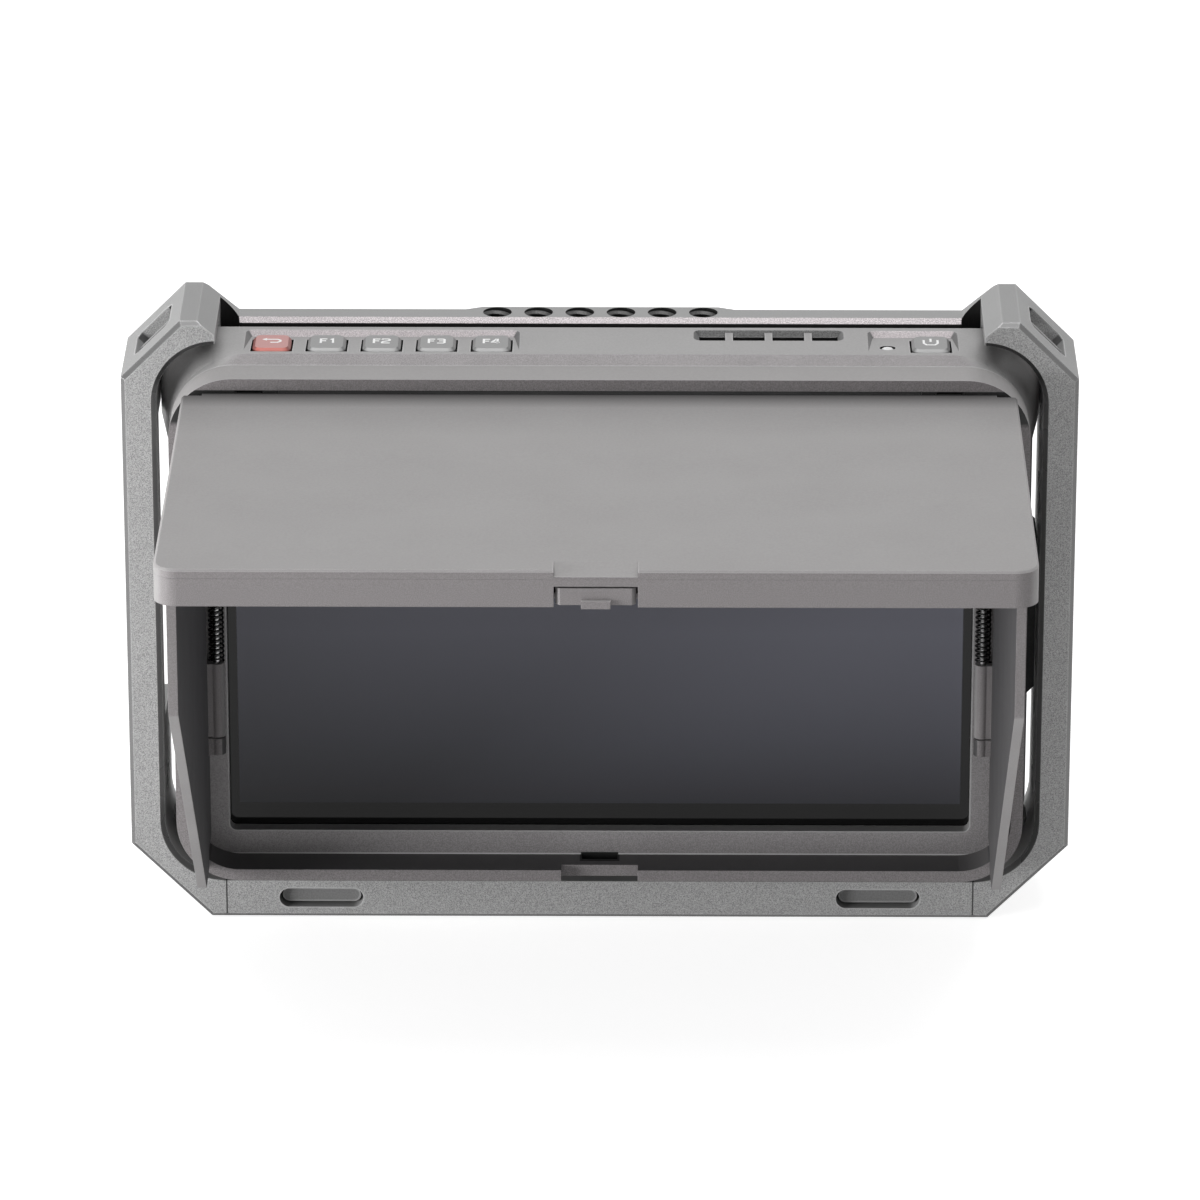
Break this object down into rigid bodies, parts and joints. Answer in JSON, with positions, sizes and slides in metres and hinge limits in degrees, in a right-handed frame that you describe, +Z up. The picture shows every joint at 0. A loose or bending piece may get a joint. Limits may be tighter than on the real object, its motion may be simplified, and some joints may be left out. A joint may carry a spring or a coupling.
{
  "type": "camera field monitor with sun hood",
  "caption": "Small camera field monitor in a guard cage with threaded rails, with a three-flap folding sun hood, top keys and a rear battery shoe.",
  "frame": {"origin": "mouth of the tripod thread, in the middle of the cage's underside", "axes": "+X to the right as seen facing the screen, +Y from the screen to the back, +Z up"},
  "size_m": [0.1726, 0.1272, 0.117],
  "materials": {
    "cage_metal": "fine sand-blasted and anodised, bevels cut bright",
    "housing_metal": "satin anodised",
    "screen_glass": "smooth, anti-glare",
    "panel": "black",
    "sheet_steel": "bright",
    "steel": "plain",
    "black_steel": "black oxide",
    "board": "circuit board",
    "sink": "black anodised",
    "fan_plastic": "moulded",
    "rubber": "matt",
    "key_grey": "moulded, printed",
    "key_red": "moulded, printed",
    "black_plastic": "moulded",
    "lens": "milky",
    "hood_plastic": "painted, fine grained"
  },
  "bodies": {
    "monitor": {"cage_left_side": "cage_metal", "cage_right_side": "cage_metal", "cage_bottom_bar": "cage_metal", "cage_top_rail": "cage_metal", "slot_inserts": "rubber", "base_screws": "black_steel", "base_pads": "rubber", "front_housing": "housing_metal", "cover_glass": "screen_glass", "glass_gasket": "rubber", "lcd_panel": "panel", "panel_shield": "sheet_steel", "main_board": "board", "board_screws": "steel", "heat_sink": "sink", "fan_housing": "fan_plastic", "fan_mounts": "rubber", "key_switches": "black_plastic", "key_boards": "board", "status_led": "lens", "vent_grille": "black_steel", "hdmi_ports": "sheet_steel", "usb_port": "sheet_steel", "headphone_port": "black_plastic", "power_inlet": "black_plastic", "port_cover": "rubber", "rear_cover": "housing_metal", "rear_screws": "black_steel", "battery_plate": "black_plastic", "battery_contacts": "black_plastic", "release_spring": "steel", "hood_frame": "hood_plastic", "side_pins": "steel", "top_pins": "steel", "left_flap_spring": "black_steel", "right_flap_spring": "black_steel"},
    "top_flap_body": {"top_flap": "hood_plastic", "flap_rim": "hood_plastic", "latch_spring": "steel"},
    "latch_body": {"latch_tab": "hood_plastic"},
    "left_flap_body": {"left_flap": "hood_plastic"},
    "right_flap_body": {"right_flap": "hood_plastic"},
    "fan_rotor_body": {"fan_rotor": "fan_plastic"},
    "battery_release_body": {"battery_release": "black_plastic"},
    "key_return_body": {"key_return": "key_red"},
    "key_f1_body": {"key_f1": "key_grey"},
    "key_f2_body": {"key_f2": "key_grey"},
    "key_f3_body": {"key_f3": "key_grey"},
    "key_f4_body": {"key_f4": "key_grey"},
    "key_power_body": {"key_power": "key_grey"}
  },
  "joints": [
    {"name": "top_flap_hinge", "type": "hinge", "parent": "monitor", "child": "top_flap_body", "pos_m": [0, -0.018, 0.10546], "axis": [1, 0, 0], "range_deg": [0, 2]},
    {"name": "left_flap_hinge", "type": "hinge", "parent": "monitor", "child": "left_flap_body", "pos_m": [-0.0698, -0.0134, 0.06], "axis": [0, 0, 1], "range_deg": [0, 92]},
    {"name": "right_flap_hinge", "type": "hinge", "parent": "monitor", "child": "right_flap_body", "pos_m": [0.0698, -0.0134, 0.06], "axis": [0, 0, -1], "range_deg": [0, 90]},
    {"name": "latch_slide", "type": "slide", "parent": "top_flap_body", "child": "latch_body", "axis": [0, 0.9998, -0.0209], "range_m": [0, 0.001], "stiffness_N_per_m": 600, "deforming": ["latch_spring"]},
    {"name": "battery_release_slide", "type": "slide", "parent": "monitor", "child": "battery_release_body", "axis": [0, 0, 1], "range_m": [0, 0.0025], "stiffness_N_per_m": 400, "deforming": ["release_spring"]},
    {"name": "fan_spin", "type": "hinge", "parent": "monitor", "child": "fan_rotor_body", "pos_m": [0.0305, 0.0073, 0.086], "axis": [0, 1, 0], "continuous": true},
    {"name": "key_return_press", "type": "slide", "parent": "monitor", "child": "key_return_body", "axis": [0, 0, -1], "range_m": [0, 0.0005], "stiffness_N_per_m": 3000},
    {"name": "key_f1_press", "type": "slide", "parent": "monitor", "child": "key_f1_body", "axis": [0, 0, -1], "range_m": [0, 0.0005], "stiffness_N_per_m": 3000},
    {"name": "key_f2_press", "type": "slide", "parent": "monitor", "child": "key_f2_body", "axis": [0, 0, -1], "range_m": [0, 0.0005], "stiffness_N_per_m": 3000},
    {"name": "key_f3_press", "type": "slide", "parent": "monitor", "child": "key_f3_body", "axis": [0, 0, -1], "range_m": [0, 0.0005], "stiffness_N_per_m": 3000},
    {"name": "key_f4_press", "type": "slide", "parent": "monitor", "child": "key_f4_body", "axis": [0, 0, -1], "range_m": [0, 0.0005], "stiffness_N_per_m": 3000},
    {"name": "key_power_press", "type": "slide", "parent": "monitor", "child": "key_power_body", "axis": [0, 0, -1], "range_m": [0, 0.0005], "stiffness_N_per_m": 3000}
  ]
}
